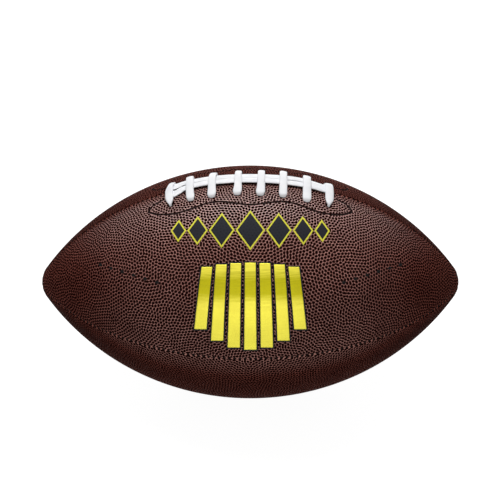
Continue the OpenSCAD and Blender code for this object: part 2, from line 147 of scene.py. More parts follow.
# Lacing: each crossing of the lace, from left to right. It leaves the rear hole at rear_x and
# back, and goes down at foot_x and front. Rise is the share of the usual height that it has just
# after the rear hole, skew turns its rear end, and the foot's shares narrow it into the hole.
Crossing = namedtuple(
    "Crossing", "rear_x back rear_w skew rise middle_x middle_w foot_x front foot_w foot_shares"
)
ROUND_FOOT = (1.0, 0.94, 0.8)
POINTED_FOOT = (0.8, 0.55, 0.34)
CROSSINGS = (
    Crossing(-49.8, -10.4, 1.6, 0.8, 0.5, -51.8, 5.3, -50.9, 14.0, 5.0, POINTED_FOOT),
    Crossing(-39.2, -12.6, 4.9, 0.29, 1.0, -38.5, 5.3, -37.9, 13.3, 5.3, ROUND_FOOT),
    Crossing(-23.4, -12.5, 4.3, 0.23, 1.0, -24.4, 5.2, -24.5, 13.3, 5.6, ROUND_FOOT),
    Crossing(-7.4, -12.7, 4.0, 0.08, 1.0, -7.8, 4.9, -8.3, 12.8, 5.6, ROUND_FOOT),
    Crossing(7.5, -13.5, 4.2, 0.0, 1.0, 6.8, 5.0, 6.3, 13.5, 5.8, ROUND_FOOT),
    Crossing(21.6, -14.6, 4.6, -0.1, 1.0, 20.9, 5.1, 20.6, 13.6, 5.3, ROUND_FOOT),
    Crossing(36.8, -12.6, 5.0, -0.28, 1.0, 36.0, 5.5, 35.7, 14.8, 5.7, ROUND_FOOT),
    Crossing(50.2, -7.8, 5.2, 0.0, 0.7, 50.5, 5.7, 49.9, 14.9, 5.2, POINTED_FOOT),
)
LACE_T = 1.8
LACE_OVER = 3.0
LACE_OVER_END = 2.5
LACE_OVER_FADE = (40, 50)
LACE_PRESS = 0.1
LACE_UNDER = 1.6
FOOT_UNDER = 1.4
STRAP_POWER = 2.6
STRAP_SIDES = 24
CROSSING_RINGS = 72
RUN_RINGS = 160
# The two long runs: place along X, distance of the middle line from the seam, and width
REAR_RUN = (
    (-52.5, -2.6, 6.6), (-49, -3.0, 6.6), (-46.3, -3.7, 6.3), (-43.5, -4.5, 5.6),
    (-39, -4.7, 5.4), (-24, -5.0, 5.4), (-8, -4.6, 5.4), (7, -4.6, 5.4), (21, -5.0, 5.4),
    (30, -5.2, 5.4), (39.4, -3.7, 5.0), (46, -2.8, 4.7), (51, -2.5, 4.6),
)
FRONT_RUN = (
    (-52.5, 5.8, 6.2), (-49, 5.2, 6.4), (-46.3, 4.1, 5.8), (-43.5, 2.3, 5.1), (-39, 1.2, 5.0),
    (-31, 0.4, 5.0), (-24, 0.3, 5.0), (-8, 0.4, 5.0), (7, 0.5, 5.0), (21, 0.6, 5.0),
    (30, 0.7, 5.0), (39.4, 0.9, 4.7), (46, 1.5, 4.4), (51, 2.0, 4.3),
)
RUN_T = 1.4
RUN_LIFT = 1.35
RUN_SAG = 0.35
RUN_SAG_FADE = (38, 50)
RUN_END = 53.0
# Knots past both ends of a long run: how far past, lift, and share of the run's width
RUN_DIPS = ((0.7, 0.0, 1.0), (1.2, -LACE_UNDER, 0.9))
# The hollow that the laces press into the cover, with a painted shadow under the long runs, and
# the holes, painted dark as their shade
HOLLOW_HALF_W = 4.5
HOLLOW_SLOPE_W = 1.8
HOLLOW_ENDS = (RUN_END + 4, RUN_END - 1)
HOLLOW_DEPTH = 0.45
HOLLOW_SHADOW = 0.15
HOLE_R = 1.7
HOLE_DEPTH = 0.6

# Facings, as their stitches show them
FACING_LEN = 65.0
FACING_W = 23.0
WAVE_SHARE = 0.8
WAVE_MID_SHARE = 0.913
WAVE_SWING_SHARE = 0.087
WAVE_CYCLES = 1.15
FACING_END_SHARES = ((0.9, 0.86), (0.97, 0.72), (1.0, 0.61), (0.96, 0.42), (0.86, 0.3))
FACING_POINTS = 40
FACING_MARGIN = 6
FACING_PITCH = 2.9
FACING_STITCH_LEN = 2.5
FACING_STITCH_DROP = 0.3
FACING_STITCH_SINK = 0.25
FACING_GROOVE_W = 0.58
FACING_GROOVE_DEPTH = 0.35
FACING_PLAIN_W = 0.9
FACING_SHOULDER_AT = 1.5
FACING_SHOULDER_W = 0.9
FACING_SHOULDER_H = 0.1

# Thread of the stitches
THREAD_D = 0.7
THREAD_LIFT = 0.1 * THREAD_D
THREAD_SIDES = 8
THREAD_RINGS = 7
THREAD_END_POWER = 6
THREAD_TIP_SHARE = 0.05
STITCH_REACH = 0.2

# Prints: a band of diamonds above a fan of bars, with a row of small marks on either side
PRINT_LIFT = 0.08
PRINT_CELL = 0.55
STAMP_SHARE = 0.2
STAMP_FADE = (-0.3, 0.5)
PRINT_TOP_GAP = 5.0
PRINT_FOOT_GAP = 7.5
FIELD_TOP = (FACING_W + PRINT_TOP_GAP) / BALL_R
FIELD_FOOT = QUARTER - PRINT_FOOT_GAP / BALL_R
PRINT_ANGLE = (FIELD_TOP + FIELD_FOOT) / 2
FIELD_HALF_H = BALL_R * math.sin((FIELD_FOOT - FIELD_TOP) / 2)
BAND_LEN = 100.0
BAND_EDGE = 1.0
DIAMOND_GAP = 1.0
BAND_H = 0.58 * FIELD_HALF_H
BAND_Y = FIELD_HALF_H - BAND_H / 2
BAND_SHARES = (0.56, 0.72, 0.88, 1.0, 0.88, 0.72, 0.56)
FAN_W = 72.0
FAN_EDGE = 0.8
FAN_TOP = 0.24 * FIELD_HALF_H
FAN_CURVE_SHARE = 0.24
BAR_COUNT = 7
BAR_SHARE = 0.74
BAR_TAPER_SHARE = 0.86
PIP_COUNT = 6
PIP_ROW_LEN = 48.0
PIP_X = 77.0
PIP_Y = 0.1 * FIELD_HALF_H
PIP_SIZE = 3.2
PIP_TILT = math.radians(17)
PIP_ASPECT_SHARE = 0.75

# Valve
VALVE_ANGLE = math.radians(-45)
VALVE_HOLE_R = 4.15
VALVE_CUT_SIDES = 64
VALVE_PLAIN_W = 1.2
VALVE_LIP_W = 0.7
VALVE_LIP_DROP = 0.35

# Colours. A row of pairs is a ramp: the place of each stop and its colour
BLACK = (0.0, 0.0, 0.0)
WHITE = (1.0, 1.0, 1.0)
HIDE_TINT = ((0.3, (0.55, 0.285, 0.25)), (0.7, (0.67, 0.35, 0.305)))
HIDE_GRAIN = ((0.3, (0.56, 0.46, 0.43)), (0.7, WHITE))
# Painted shade: darker and redder where the tone is low
HIDE_SHADE = ((0.0, BLACK), (0.5, (0.5, 0.31, 0.27)), (1.0, WHITE))
# Paler leather between the pulls beside the seams
HIDE_SEAM_PALE = (0.62, 0.31, 0.255)
HIDE_PIT = (0.008, 0.0008, 0.0005)
LACE_TINT = ((0.35, (0.86, 0.87, 0.9)), (0.65, (0.92, 0.925, 0.94)))
THREAD_TINT = ((0.3, (0.003, 0.003, 0.003)), (0.7, (0.014, 0.011, 0.011)))
# Gold of the foil along the fan's height, with an olive band painted across it as a reflection
FOIL_FOOT = (1.0, 0.91, 0.09)
FOIL_BRIGHT = (0.82, 0.73, 0.07)
FOIL_OLIVE_REFLECTION = (0.53, 0.48, 0.003)
FOIL_TOP = (0.93, 0.83, 0.08)
FOIL_GOLD_AND_REFLECTION = (
    (0.1, FOIL_FOOT), (0.6, FOIL_BRIGHT), (0.7, FOIL_OLIVE_REFLECTION), (0.86, FOIL_OLIVE_REFLECTION), (1.0, FOIL_TOP),
)
FOIL_SWAY = 0.12
FOIL_WORN = ((0.3, (0.94, 0.93, 0.9)), (0.65, WHITE))
FOIL_BRUSHED = ((0.35, (0.9, 0.9, 0.84)), (0.6, WHITE))
CLOTH_TINT = ((0.1, (0.45, 0.42, 0.35)), (0.45, (0.68, 0.65, 0.56)))
FACING_TINT = ((0.3, (0.17, 0.095, 0.05)), (0.7, (0.31, 0.19, 0.11)))
# Inks, whole and worn, and rubbers, clean and dusty
INK_BLACK = ((0.018, 0.019, 0.025), (0.01, 0.01, 0.013))
INK_YELLOW = ((0.78, 0.74, 0.07), (0.6, 0.55, 0.05))
INK_MARKS = ((0.006, 0.005, 0.005), (0.003, 0.002, 0.002))
BLADDER_RUBBER = ((0.012, 0.012, 0.013), (0.03, 0.03, 0.031))
PLUG_RUBBER = ((0.05, 0.048, 0.045), (0.09, 0.086, 0.08))

# Camera, as the photograph was taken
CAMERA_DISTANCE = 620.0
CAMERA_RISE = math.radians(36.8)
CAMERA_LENS = 63.85
CAMERA_SHIFT = (-0.0007, 0.0638)
CAMERA_NEAR = 10.0

# Light: angle above the front, distance, size, level and place along X of each softbox
TOP_LIGHT = (math.radians(106), 1.2, (1.1, 0.45), 0.82, -0.07)
FRONT_LIGHT = (math.radians(12), 2.2, (2.4, 0.7), 0.45, 0.0)
REAR_LIGHT = (math.radians(168), 2.2, (2.4, 0.7), 0.28, 0.0)
# Room and floor: the room's light, the greys of the floor for the light that it sends up and for
# the shadow on it, and the glow that makes it white to the eye
WORLD_LEVEL = 0.12
FLOOR_BOUNCE = 0.15
FLOOR_SHADE = 0.35
FLOOR_GLOW = 0.93
FLOOR_HALF_SIDE = 6.0

rng = np.random.default_rng(PEBBLE_SEED)


# Shape of the ball
def outline(run):
    """x, radius and outward normal (along X, away from the axis) of the outline at each run."""
    run = np.asarray(run, float)
    on_arc = np.abs(run) < JOIN_RUN
    past = np.abs(run) - JOIN_RUN
    turn = np.where(on_arc, run / ARC_R, np.sign(run) * (JOIN_ANGLE + past / NOSE_R))
    x = np.where(on_arc, ARC_R * np.sin(turn), np.sign(run) * NOSE_X + NOSE_R * np.sin(turn))
    radius = np.where(on_arc, ARC_R * np.cos(turn) - AXIS_GAP, NOSE_R * np.cos(turn))
    return x, radius, np.sin(turn), np.cos(turn)


def run_at(x):
    """Run of the outline where it passes x, on the long arc."""
    return ARC_R * np.arcsin(np.asarray(x, float) / ARC_R)


def radius_at(x):
    """Radius of the ball at x, on the long arc."""
    return np.sqrt(ARC_R ** 2 - np.asarray(x, float) ** 2) - AXIS_GAP


def on_ball(run, alpha, lift):
    """Points of the ball's surface, moved outwards by lift."""
    x, radius, normal_x, normal_r = outline(run)
    far = np.maximum(radius + lift * normal_r, 0.0)
    return np.stack([x + lift * normal_x, -far * np.sin(alpha), far * np.cos(alpha)], -1)


def by_lacing(x, s, lift):
    """Points at x and at a distance s from the lacing seam, lifted from the surface."""
    x, s, lift = np.broadcast_arrays(*(np.asarray(v, float) for v in (x, s, lift)))
    return on_ball(run_at(x), s / radius_at(x), lift)


def smooth(low, high, value):
    """0 up to low and 1 from high on, with a soft rise between them."""
    t = np.clip((value - low) / (high - low), 0.0, 1.0)
    return t * t * (3 - 2 * t)


def between(rise, fall, value):
    """1 from the rise to the fall, and 0 before and after them."""
    return smooth(*rise, value) * (1 - smooth(*fall, value))


def bell(value, width):
    """1 at zero, with a soft fall to 0 on both sides."""
    return np.exp(-(value / width) ** 2)


def unit(vectors):
    return vectors / np.linalg.norm(vectors, axis=-1, keepdims=True)


# Pebbles
def grow_pebbles():
    """A pattern-forming equation grows dots in curving rows from noise. Runs from 0 to 1."""
    nx, ny = PEBBLE_CELLS
    field = rng.normal(0, PEBBLE_NOISE, (ny, nx))
    wave = 2 * PI / (PEBBLE_PITCH * HONEYCOMB_ROW)
    kx = np.fft.rfftfreq(nx, PEBBLE_STEP) * 2 * PI / wave
    ky = np.fft.fftfreq(ny, PEBBLE_STEP) * 2 * PI / wave
    damping = 1 + (1 - kx[None, :] ** 2 - ky[:, None] ** 2) ** 2 - PEBBLE_GROWTH
    for _ in range(PEBBLE_ROUNDS):
        pushed = field + field ** 2 - field ** 3
        field = np.fft.irfft2(np.fft.rfft2(pushed) / damping, s=field.shape)
    return rescaled(finer(field))


def finer(field):
    """The same field on a grid twice as fine."""
    ny, nx = field.shape
    coarse = np.fft.rfft2(field)
    fine = np.zeros((2 * ny, nx + 1), complex)
    fine[: ny // 2, : nx // 2 + 1] = coarse[: ny // 2]
    fine[-(ny // 2):, : nx // 2 + 1] = coarse[ny // 2:]
    return np.fft.irfft2(fine, s=(2 * ny, 2 * nx))


def rescaled(field):
    """The field stretched to run from 0 to 1, with its extremes cut off."""
    low, high = np.percentile(field, PEBBLE_CLIP)
    return np.clip((field - low) / (high - low), 0, 1)


PEBBLES = grow_pebbles()


def pebble(run, offset, index):
    """Pebble pattern on one panel, laid out flat: run along it and the angle from its middle."""
    _, radius, slope, _ = outline(run)
    bend = -slope
    swing = offset * bend
    straight = np.abs(bend) < NEARLY_STRAIGHT
    safe = np.where(straight, 1.0, bend)
    along = np.where(straight, 0.0, -radius / safe * (1 - np.cos(swing)))
    across = np.where(straight, radius * offset, radius / safe * np.sin(swing))
    u = (run + along) / FINE_STEP + index * PEBBLE_SHIFT[0]
    v = across / FINE_STEP + index * PEBBLE_SHIFT[1]
    u0, v0 = np.floor(u).astype(int), np.floor(v).astype(int)
    fu, fv = u - u0, v - v0
    ny, nx = PEBBLES.shape
    corner = {(i, j): PEBBLES[(v0 + j) % ny, (u0 + i) % nx] for i in (0, 1) for j in (0, 1)}
    top = corner[0, 0] * (1 - fu) + corner[1, 0] * fu
    low = corner[0, 1] * (1 - fu) + corner[1, 1] * fu
    return top * (1 - fv) + low * fv


# Meshes
def make_mesh(name, points, faces, material, slot, floats=None):
    """A piece that replaces the CAD node of its name. Floats are numbers that its material reads
    at each point."""
    mesh = bpy.data.meshes.new(name + "_detail")
    mesh.from_pydata((np.asarray(points) * MM).tolist(), [], [tuple(f) for f in faces])
    for key, values in (floats or {}).items():
        layer = mesh.attributes.new(key, "FLOAT", "POINT")
        layer.data.foreach_set("value", np.asarray(values, np.float32))
    mesh.polygons.foreach_set("use_smooth", [True] * len(mesh.polygons))
    mesh.update()
    piece = bpy.data.objects.new(name + "_detail", mesh)
    bpy.context.scene.collection.objects.link(piece)
    mesh.materials.append(material)
    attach(piece, "root")
    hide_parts(name)
    return piece


def join(parts):
    """Points and faces of several bodies as one list of each."""
    points, faces, base = [], [], 0
    for part_points, part_faces in parts:
        points.append(part_points)
        faces += [tuple(i + base for i in face) for face in part_faces]
        base += len(part_points)
    return np.concatenate(points), faces


def tube_faces(rings, count):
    """Faces of a closed tube of rings, each of count points, with flat ends."""
    faces = []
    for i in range(rings - 1):
        for j in range(count):
            k = (j + 1) % count
            faces.append((i * count + j, (i + 1) * count + j, (i + 1) * count + k, i * count + k))
    faces.append(tuple(range(count)))
    faces.append(tuple(range((rings - 1) * count, rings * count))[::-1])
    return faces


def curve_through(knots, count):
    """Smooth path of count points through the knots (Catmull-Rom), in any number of columns."""
    knots = np.asarray(knots, float)
    padded = np.vstack([2 * knots[0] - knots[1], knots, 2 * knots[-1] - knots[-2]])
    places = np.linspace(0, len(knots) - 1, count)
    first = np.minimum(places.astype(int), len(knots) - 2)
    t = (places - first)[:, None]
    p0, p1, p2, p3 = (padded[first + i] for i in range(4))
    return 0.5 * (2 * p1 + (p2 - p0) * t + (2 * p0 - 5 * p1 + 4 * p2 - p3) * t ** 2
                  + (3 * p1 - p0 - 3 * p2 + p3) * t ** 3)


# Outlines of the facings' stitches and of the prints
def facing_line(side):
    """Row of points (x, s) along one facing's stitches; side is 1 in front and -1 behind."""
    share = np.linspace(0, 1, FACING_POINTS)
    wave = np.cos(2 * PI * WAVE_CYCLES * share)
    x = FACING_LEN * WAVE_SHARE * share
    s = FACING_W * (WAVE_MID_SHARE + WAVE_SWING_SHARE * wave)
    ends = [(FACING_LEN * x_share, FACING_W * s_share) for x_share, s_share in FACING_END_SHARES]
    end = curve_through([(x[-1], s[-1])] + ends, FACING_POINTS)[1:]
    half = np.vstack([np.stack([x, s], 1), end])
    return np.vstack([half[:0:-1] * (-1, 1), half]) * (1, side)


FACING_LINES = {side: facing_line(side) for side in (1, -1)}


def distance_to_line(points, line):
    """Distance of each point to a row of points joined by straight pieces."""
    best = np.full(len(points), np.inf)
    for p, q in zip(line[:-1], line[1:]):
        along = q - p
        t = np.clip(((points - p) @ along) / (along @ along), 0, 1)
        best = np.minimum(best, np.linalg.norm(points - p - t[:, None] * along, axis=1))
    return best


def quad_inset(points, corners):
    """How far each point lies inside a convex quad."""
    inset = np.full(len(points), np.inf)
    for p, q in zip(corners, np.roll(corners, -1, axis=0)):
        edge = unit(q - p)
        away = points - p
        inset = np.minimum(inset, edge[0] * away[:, 1] - edge[1] * away[:, 0])
    return inset


def diamond(w, h, at, grow=0.0, turn=0.0):
    """Corners of a diamond, grown by the same width on all sides and turned about its middle."""
    slope = math.hypot(w, h)
    half_w, half_h = w / 2 + grow * slope / h, h / 2 + grow * slope / w
    flat = np.array([(-half_w, 0), (0, -half_h), (half_w, 0), (0, half_h)])
    cos, sin = math.cos(turn), math.sin(turn)
    return flat @ np.array([(cos, sin), (-sin, cos)]) + at


def band_quads(grow):
    """The band of diamonds in the print's plane, each grown on all sides."""
    step = BAND_LEN / sum(BAND_SHARES)
    space = 2 * BAND_EDGE + DIAMOND_GAP
    quads, start = [], -BAND_LEN / 2
    for share in BAND_SHARES:
        at = (start + share * step / 2, BAND_Y)
        quads.append(diamond(share * step - space, share * BAND_H - space, at, grow))
        start += share * step
    return quads


def fan_quads(grow):
    """The fan of bars in the print's plane, each grown on all sides."""
    step = FAN_W / BAR_COUNT
    half_count = BAR_COUNT // 2
    quads = []
    for i in range(-half_count, half_count + 1):
        share = (i / half_count) ** 2
        top = FAN_TOP - share * FAN_CURVE_SHARE * FAN_TOP + grow
        foot = -FIELD_HALF_H + share * FAN_CURVE_SHARE * (FIELD_HALF_H + FAN_TOP) - grow
        half_foot = step * BAR_SHARE / 2 + grow
        half_top = step * BAR_SHARE * BAR_TAPER_SHARE / 2 + grow
        foot_x, top_x = i * step, i * step * BAR_TAPER_SHARE
        corners = [(foot_x - half_foot, foot), (foot_x + half_foot, foot)]
        corners += [(top_x + half_top, top), (top_x - half_top, top)]
        quads.append(np.array(corners))
    return quads


def pip_quads():
    """The two slanting rows of small diamonds, one at each end of the print."""
    step = PIP_ROW_LEN / PIP_COUNT
    quads = []
    for end in (-1, 1):
        turn = end * PIP_TILT
        for i in range(PIP_COUNT):
            far = (i + 0.5) * step - PIP_ROW_LEN / 2
            at = (end * PIP_X + far * math.cos(turn), PIP_Y + far * math.sin(turn))
            quads.append(diamond(PIP_SIZE, PIP_SIZE * PIP_ASPECT_SHARE, at, 0.0, turn))
    return quads


def frame_quads(inner, outer):
    """The four strips between a quad and the same quad grown."""
    quads = []
    for near, far in zip(inner, outer):
        for i in range(4):
            k = (i + 1) % 4
            quads.append(np.array([far[i], far[k], near[k], near[i]]))
    return quads


# The cover's outer skin
def seam_relief(gap, run):
    """Lift, painted shade and paleness beside a seam: a valley that each stitch draws tighter,
    with shade painted in its crease and at each pull.
    """
    pull = (0.5 + 0.5 * np.cos(2 * PI * run / SEAM_PITCH)) ** PULL_POWER
    lift = -SEAM_DEPTH * bell(gap, SEAM_HALF_W) - PULL_DEPTH * pull * bell(gap, PULL_W)
    lift += SHOULDER_H * bell(gap - SHOULDER_AT, SHOULDER_W)
    # Painted shade in the seam's crease and at each stitch's pull
    dark = bell(gap, PULL_SHADE_W) * pull + SEAM_SHADE_LEVEL * bell(gap, SEAM_SHADE_W)
    pale = SEAM_PALE_LEVEL * (1 - pull) * bell(gap - SEAM_PALE_AT, SEAM_PALE_W)
    return lift, dark, pale


def facing_relief(x, s, side):
    """Lift and painted shade of a facing's stitched groove, and the share of the pebbles beside
    it.
    """
    lift, dark, kept = np.zeros(len(x)), np.zeros(len(x)), np.ones(len(x))
    zone = (np.abs(x) < FACING_LEN + FACING_MARGIN) & (np.abs(s) < FACING_W + FACING_MARGIN)
    far = distance_to_line(np.stack([x, s], 1)[zone], FACING_LINES[side])
    groove = bell(far, FACING_GROOVE_W)
    shoulder = bell(far - FACING_SHOULDER_AT, FACING_SHOULDER_W)
    lift[zone] = FACING_SHOULDER_H * shoulder - FACING_GROOVE_DEPTH * groove
    # Painted shade in the groove
    dark[zone] = groove
    kept[zone] = smooth(FACING_GROOVE_W, FACING_GROOVE_W + FACING_PLAIN_W, far)
    return lift, dark, kept


def lace_relief(x, s, side):
    """Lift and painted shadow of the hollow under the long runs, and lift and painted shade of the
    holes on one side.
    """
    across = smooth(HOLLOW_HALF_W, HOLLOW_HALF_W - HOLLOW_SLOPE_W, np.abs(s))
    hollow = across * smooth(*HOLLOW_ENDS, np.abs(x))
    # Painted shadow under the long runs
    lift, dark = -HOLLOW_DEPTH * hollow, HOLLOW_SHADOW * hollow
    for c in CROSSINGS:
        hole_x, hole_s = (c.foot_x, c.front) if side == 1 else (c.rear_x, c.back)
        hole = bell(np.hypot(x - hole_x, s - hole_s), HOLE_R)
        lift -= HOLE_DEPTH * hole
        # Painted shade in each hole
        dark = np.maximum(dark, hole)
    return lift, dark


def stamped(x, radius, alpha):
    """1 where a print presses the pebbles flatter."""
    flat = np.stack([x, radius * np.sin(PRINT_ANGLE - alpha)], 1)
    pressed = np.zeros(len(x))
    for quad in band_quads(BAND_EDGE) + fan_quads(FAN_EDGE):
        pressed = np.maximum(pressed, smooth(*STAMP_FADE, quad_inset(flat, quad)))
    return pressed


def skin_painted_light_and_shade(x, alpha, index):
    """Painted light and shade on one panel's leather: its own brightness, lighter beside the seam
    between the front panels and near the lacing in front, darker behind the lacing and towards the
    tips.
    """
    own = PANEL_TONES_AND_SHADES[index]
    tone = own + (SEAM_PAINTED_LIGHT - own) * between(SEAM_PAINTED_LIGHT_RISE, SEAM_PAINTED_LIGHT_FALL, alpha)
    if index == UPPER_FRONT:
        tone += (TOP_PAINTED_LIGHT - own) * (1 - smooth(*TOP_PAINTED_LIGHT_FADE, alpha))
    if index == UPPER_REAR:
        tone += (REAR_TOP_PAINTED_SHADE - own) * smooth(*REAR_TOP_PAINTED_SHADE_FADE, alpha)
    return tone * (1 - (1 - TIP_PAINTED_SHADE) * smooth(*TIP_PAINTED_SHADE_FADE, np.abs(x)))


def skin(run, alpha, index):
    """Lift of one panel's outer skin, and the numbers that its leather reads at each point."""
    x, radius, _, _ = outline(run)
    share = (alpha - index * QUARTER) / QUARTER
    gap = np.minimum(share, 1 - share) * radius * QUARTER
    lift, dark, pale = seam_relief(gap, run)
    pit = pebble(run, (share - 0.5) * QUARTER, index) * smooth(*PEBBLE_SEAM_FADE, gap)
    pressed, gloss = np.zeros(len(x)), np.zeros(len(x))
    if index == UPPER_FRONT:
        pressed = stamped(x, radius, alpha)
        gloss = between(GLOSS_RISE, GLOSS_FALL, alpha) * (1 - smooth(*GLOSS_ENDS, np.abs(x)))
    if index in (UPPER_FRONT, UPPER_REAR):
        side, seam = (1, 0.0) if index == UPPER_FRONT else (-1, FULL_TURN)
        s = radius * (alpha - seam)
        groove_lift, groove_shade, kept = facing_relief(x, s, side)
        lace_lift, lace_shadow = lace_relief(x, s, side)
        lift += groove_lift + lace_lift
        dark = np.maximum(dark, np.maximum(groove_shade, lace_shadow))
        pit = pit * kept
    if index == UPPER_REAR:
        far = np.hypot(x, radius * (alpha - FULL_TURN - VALVE_ANGLE))
        lift -= VALVE_LIP_DROP * bell(np.maximum(far - VALVE_HOLE_R, 0), VALVE_LIP_W)
        pit = pit * smooth(VALVE_HOLE_R, VALVE_HOLE_R + VALVE_PLAIN_W, far)
    lift -= PEBBLE_DEPTH * smooth(*PEBBLE_SINK, pit) * (1 - (1 - STAMP_SHARE) * pressed)
    # Painted light and shade, carried to the leather's colour as the tone attribute
    tone = skin_painted_light_and_shade(x, alpha, index)
    # The pit key holds the pebbles' pits and the painted shade of seams, grooves, lace hollow and
    # holes
    return lift, {"pit": np.maximum(pit, dark), "pale": pale, "gloss": gloss, "tone": tone}


def zip_rows(first_a, places_a, first_b, places_b):
    """Triangles between two rows of points whose places along the row run from 0 to 1."""
    mid_a = (places_a[1:] + places_a[:-1]) / 2
    mid_b = (places_b[1:] + places_b[:-1]) / 2
    order = np.argsort(np.concatenate([mid_a, mid_b]), kind="stable")
    from_a = order < len(mid_a)
    at_a = first_a + np.cumsum(from_a) - from_a
    at_b = first_b + np.cumsum(~from_a) - ~from_a
    third = np.where(from_a, at_a + 1, at_b + 1)
    return np.stack([at_a, third, at_b], 1)


def row_places(width):
    """Places across a panel, closer together beside its two seams."""
    if width < NARROW_W:
        return np.linspace(0, 1, max(3, int(round(width / SKIN_STEP)) + 1))
    fine = np.array(EDGE_PLACES)
    count = int(round((width - 2 * fine[-1]) / SKIN_STEP))
    middle = np.linspace(fine[-1], width - fine[-1], count + 1)
    return np.concatenate([fine[:-1], middle, (width - fine[:-1])[::-1]]) / width


def panel_faces(firsts, places, inner_places):
    """Faces of a panel's outer and inner skins, and of the walls round its edge."""
    base, rows, cols = firsts[-1], len(places), len(inner_places)
    faces, walls = [], []
    for i in range(rows - 1):
        low, high = base + i * cols, base + (i + 1) * cols
        faces.append(zip_rows(firsts[i], places[i], firsts[i + 1], places[i + 1]))
        faces.append(zip_rows(low, inner_places, high, inner_places)[:, ::-1])
        walls.append((firsts[i], firsts[i + 1], high, low))
        walls.append((firsts[i + 2] - 1, firsts[i + 1] - 1, low + cols - 1, high + cols - 1))
    for i, step in ((0, 1), (rows - 1, -1)):
        outer_row = list(range(firsts[i], firsts[i + 1]))
        inner_row = list(range(base + i * cols, base + (i + 1) * cols))
        walls.append(tuple((outer_row + inner_row[::-1])[::step]))
    return np.concatenate(faces).tolist() + walls


def panel(name, index, material):
    """One cover panel: a fine outer skin, a plain inner one, and edges that join them."""
    start = index * QUARTER
    rows = np.linspace(-END_RUN, END_RUN, int(round(2 * END_RUN / SKIN_STEP)) + 1)[1:-1]
    _, radii, _, _ = outline(rows)
    places = [row_places(radius * QUARTER) for radius in radii]
    counts = [len(row) for row in places]
    run = np.repeat(rows, counts)
    alpha = start + QUARTER * np.concatenate(places)
    lift, floats = skin(run, alpha, index)
    inner_places = np.linspace(0, 1, INNER_COLS)
    inner_alpha = start + QUARTER * np.tile(inner_places, len(rows))
    inner = on_ball(np.repeat(rows, INNER_COLS), inner_alpha, -COVER_T)
    floats = {key: np.append(values, np.zeros(len(inner))) for key, values in floats.items()}
    floats["tone"][len(run):] = 1.0
    points = np.concatenate([on_ball(run, alpha, lift), inner])
    faces = panel_faces(np.cumsum([0] + counts), places, inner_places)
    return make_mesh(name, points, faces, material, "cover_leather", floats)


# Valve
def cut_valve_hole(piece):
    """A round hole through the cover, straight over the valve."""
    out = Vector((0, -math.sin(VALVE_ANGLE), math.cos(VALVE_ANGLE)))
    bpy.ops.mesh.primitive_cylinder_add(
        vertices=VALVE_CUT_SIDES, radius=VALVE_HOLE_R * MM, depth=4 * COVER_T * MM
    )
    cutter = bpy.context.object
    cutter.location = out * (BALL_R - COVER_T / 2) * MM
    cutter.rotation_euler = out.to_track_quat("Z", "Y").to_euler()
    cut = piece.modifiers.new("hole", "BOOLEAN")
    cut.operation = "DIFFERENCE"
    cut.solver = "EXACT"
    cut.object = cutter
    bpy.context.view_layer.objects.active = piece
    bpy.ops.object.modifier_apply(modifier=cut.name)
    bpy.data.objects.remove(cutter)


# Lace
def strap(knots, thick, count):
    """A flat lace with rounded edges along knots (x, s, lift, width, skew)."""
    x, s, lift, width, skew = curve_through(knots, count).T
    path = by_lacing(x, s, lift)
    on_skin = by_lacing(x, s, 0.0)
    along = unit(np.gradient(path, axis=0))
    level = unit(np.gradient(on_skin, axis=0))
    side = unit(np.cross(level, by_lacing(x, s, 1.0) - on_skin))
    up = unit(np.cross(side, along))
    around = np.linspace(0, 2 * PI, STRAP_SIDES, endpoint=False)
    flat_x = np.sign(np.cos(around)) * np.abs(np.cos(around)) ** (2 / STRAP_POWER)
    flat_z = np.sign(np.sin(around)) * np.abs(np.sin(around)) ** (2 / STRAP_POWER)
    out = flat_x * width[:, None] / 2
    ring = path[:, None] + side[:, None] * out[..., None]
    ring = ring + along[:, None] * (out * skew[:, None])[..., None]
    ring = ring + up[:, None] * (flat_z * thick / 2)[None, :, None]
    return ring.reshape(-1, 3), tube_faces(count, len(around))


